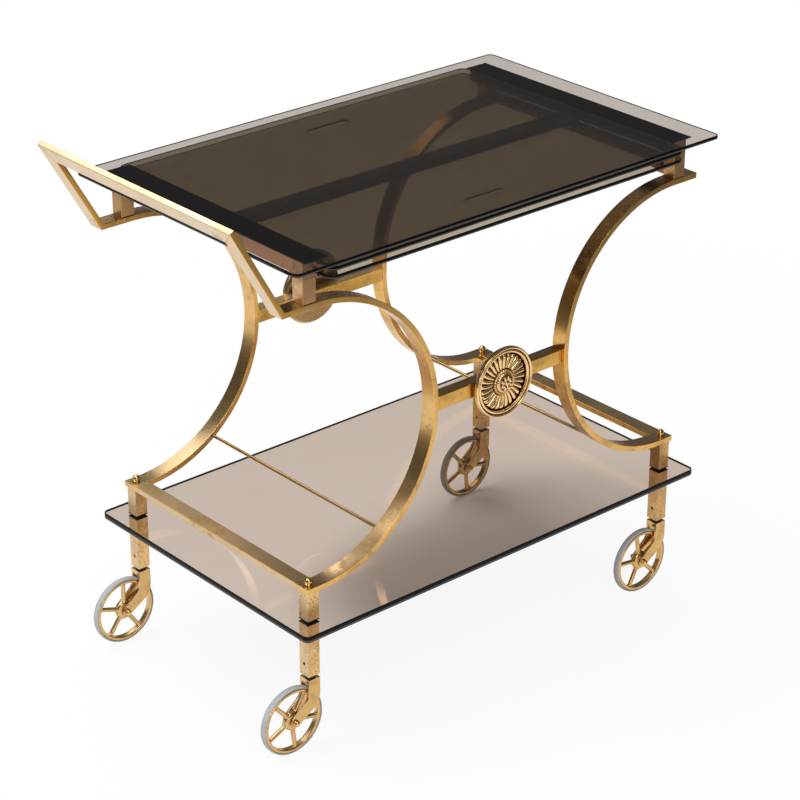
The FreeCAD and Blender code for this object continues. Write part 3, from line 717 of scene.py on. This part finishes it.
def ball_bolts():
    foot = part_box("tie_bolts")[0].z / mm
    frame_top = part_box("lower_crossbar_left")[1].z / mm
    bm = bmesh.new()
    head = ball_collar + domed(ball_radius, ball_at, ball_start, 10)
    outline = [(0.0, foot), (bolt_tip, foot), (bolt_radius, foot + bolt_chamfer), (bolt_radius, frame_top)]
    outline += [(r, frame_top + a) for r, a in head]
    for place_name in places:
        x, y = joint_at["swivel_" + place_name][:2]
        turned(bm, scaled(outline), Vector((x, y, 0.0)), upward, 36)
    stand_in("tie_bolts_ball_headed", bm, "tie_bolts")


ball_bolts()
for place_name in places:
    spoked_wheel(place_name)
    round_tyre(place_name)
    capped_axle(place_name)


# Studio

floor_radius = 4.0
floor_grey = opaque(0.86, 0.86, 0.86)
pure_white = opaque(1.0, 1.0, 1.0)
evenly = (1.0, 1.0, 1.0)
# Where the floor's painted shadows and painted bright pool lie.
shelf_shade_at, shelf_shade_reach = (0.3, 0.0, 0.0), (0.5, 0.3, 1.0)
caster_shade_at, caster_shade_reach = (0.4, 0.2, 0.0), (0.17, 0.15, 1.0)
pool_at, pool_edge, pool_end = (-0.3, 0.3, 0.0), 1.68, 1.98


def studio_floor():
    # A white floor that keeps part of the cart's shadow; seen through the glass it carries painted shadows under
    # the shelf and around the rear right caster, and brass mirrors a painted bright pool on it.
    floor_mesh = bpy.data.meshes.new("studio_floor")
    bm = bmesh.new()
    bmesh.ops.create_circle(bm, cap_ends=True, segments=96, radius=floor_radius)
    bm.to_mesh(floor_mesh)
    bm.free()
    floor = bpy.data.objects.new("studio_floor", floor_mesh)
    bpy.context.scene.collection.objects.link(floor)
    paint = bpy.data.materials.new("white_floor")
    paint.use_nodes = True
    paint.node_tree.nodes.clear()
    t = Tree(paint.node_tree)
    here = t.add("TexCoord").outputs["Object"]

    def distance(centre, stretch):
        moved = t.add("VectorMath", {0: here, 1: centre}, operation="SUBTRACT").outputs[0]
        wide = t.add("VectorMath", {0: moved, 1: stretch}, operation="DIVIDE").outputs[0]
        return t.add("VectorMath", {0: wide}, operation="LENGTH").outputs["Value"]
    away = distance((0.0, 0.0, 0.0), evenly)
    shelf_shade = distance(shelf_shade_at, shelf_shade_reach)
    caster_shade = distance(caster_shade_at, caster_shade_reach)
    pool = distance(pool_at, evenly)
    path = t.add("LightPath").outputs
    bounced = t.math("SUBTRACT", path["Is Glossy Ray"], path["Is Transmission Ray"], True)
    direct = t.math("MULTIPLY", path["Is Camera Ray"], t.spread(away, 0.8, 1.8, 0.9, 1.0))
    # Painted shadows of the shelf and the rear right caster, seen only through the glass.
    shaded = t.math("MULTIPLY", t.spread(shelf_shade, 0.5, 1.0, 0.22, 1.0, soft=True),
                    t.spread(caster_shade, 0.1, 1.0, 0.3, 1.0, soft=True))
    through = t.math("MULTIPLY", path["Is Transmission Ray"], shaded)
    mirrored = t.math("MULTIPLY", bounced, 0.8)
    share = t.math("MAXIMUM", t.math("MAXIMUM", direct, through), mirrored)
    # The painted bright pool that brass mirrors, dimming beyond its edge.
    dim = t.spread(pool, pool_edge, pool_end, 0.0, 0.86, soft=True)
    level = t.math("SUBTRACT", 1.0, t.math("MULTIPLY", bounced, dim))
    matt = t.add("BsdfDiffuse", {"Color": floor_grey})
    glow = t.add("Emission", {"Color": pure_white, "Strength": level})
    blend = t.add("MixShader", {0: share, 1: matt.outputs[0], 2: glow.outputs[0]})
    t.add("OutputMaterial", {"Surface": blend.outputs[0]})
    floor_mesh.materials.append(paint)


def studio_walls():
    # White to the camera and behind glass below the horizon, dim in reflections, a soft fill elsewhere.
    world = bpy.data.worlds.new("studio")
    bpy.context.scene.world = world
    world.use_nodes = True
    world.node_tree.nodes.clear()
    t = Tree(world.node_tree)
    way = t.add("TexCoord").outputs["Generated"]
    rise = t.add("SeparateXYZ", {0: way}).outputs["Z"]
    path = t.add("LightPath").outputs
    below = t.math("MULTIPLY", path["Is Transmission Ray"], t.spread(rise, 0.02, -0.02))
    white = t.math("MAXIMUM", path["Is Camera Ray"], below)
    mirrored = t.math("MULTIPLY", path["Is Glossy Ray"], t.spread(rise, -0.02, 0.15, 0.14, 0.1))
    sky = t.math("MULTIPLY", path["Is Transmission Ray"], t.spread(rise, 0.5, 0.75, 0.0, 0.6))
    soft = t.math("MAXIMUM", sky, t.math("MULTIPLY", path["Is Diffuse Ray"], 0.45))
    level = t.math("MAXIMUM", white, t.math("MAXIMUM", mirrored, soft))
    back = t.add("Background", {"Color": pure_white, "Strength": level})
    t.add("OutputWorld", {"Surface": back.outputs[0]})


def softbox(name, at, aim, width, height, power):
    lamp = bpy.data.lights.new(name, "AREA")
    lamp.shape = "RECTANGLE"
    lamp.size = width
    lamp.size_y = height
    lamp.energy = power
    thing = bpy.data.objects.new(name, lamp)
    thing.location = at
    thing.rotation_euler = (Vector(aim) - Vector(at)).to_track_quat("-Z", "Y").to_euler()
    thing.visible_camera = False
    thing.visible_transmission = False
    bpy.context.scene.collection.objects.link(thing)


image_pixels = 800.0
sensor_width = 36.0
view_azimuth, view_elevation, view_roll = (math.radians(angle) for angle in (-41.18, 25.91, 0.16))
view_target = Vector((0.03935, 0.0001, 0.3645))
view_distance = 3.872
focal_pixels = 2585.0
view_shift = (-0.0035, -0.005)


def photo_camera():
    # The viewing angle, distance and lens of the photograph.
    level = math.cos(view_elevation)
    flat = Vector((math.cos(view_azimuth), math.sin(view_azimuth), 0.0))
    back = Vector((flat.y * level, -flat.x * level, math.sin(view_elevation)))
    steep = back.cross(flat)
    right = flat * math.cos(view_roll) + steep * math.sin(view_roll)
    up = steep * math.cos(view_roll) - flat * math.sin(view_roll)
    lens = bpy.data.cameras.new("photo_camera")
    lens.sensor_width = sensor_width
    lens.lens = focal_pixels * sensor_width / image_pixels
    lens.shift_x, lens.shift_y = view_shift
    camera = bpy.data.objects.new("photo_camera", lens)
    camera.matrix_world = Matrix((right, up, back)).transposed().to_4x4()
    camera.location = view_target + back * view_distance
    bpy.context.scene.collection.objects.link(camera)
    bpy.context.scene.camera = camera


studio_floor()
studio_walls()
softbox("overhead_softbox", (-0.1, 0.7, 2.7), (0.0, 0.0, 0.4), width=2.6, height=2.6, power=45.0)
softbox("window_softbox", (-2.0, 0.9, 2.6), (0.0, 0.0, 0.4), width=1.4, height=1.4, power=24.0)
softbox("front_softbox", (-1.2, -2.0, 3.0), (0.0, 0.0, 0.5), width=1.5, height=1.5, power=26.0)
softbox("low_strip", (-1.3, -2.6, 0.62), (0.0, 0.0, 0.45), width=2.4, height=0.35, power=9.0)
softbox("rear_softbox", (0.1, 2.3, 2.7), (0.0, 0.0, 0.4), width=1.8, height=1.0, power=10.0)
photo_camera()
bpy.context.scene.view_settings.view_transform = "Standard"
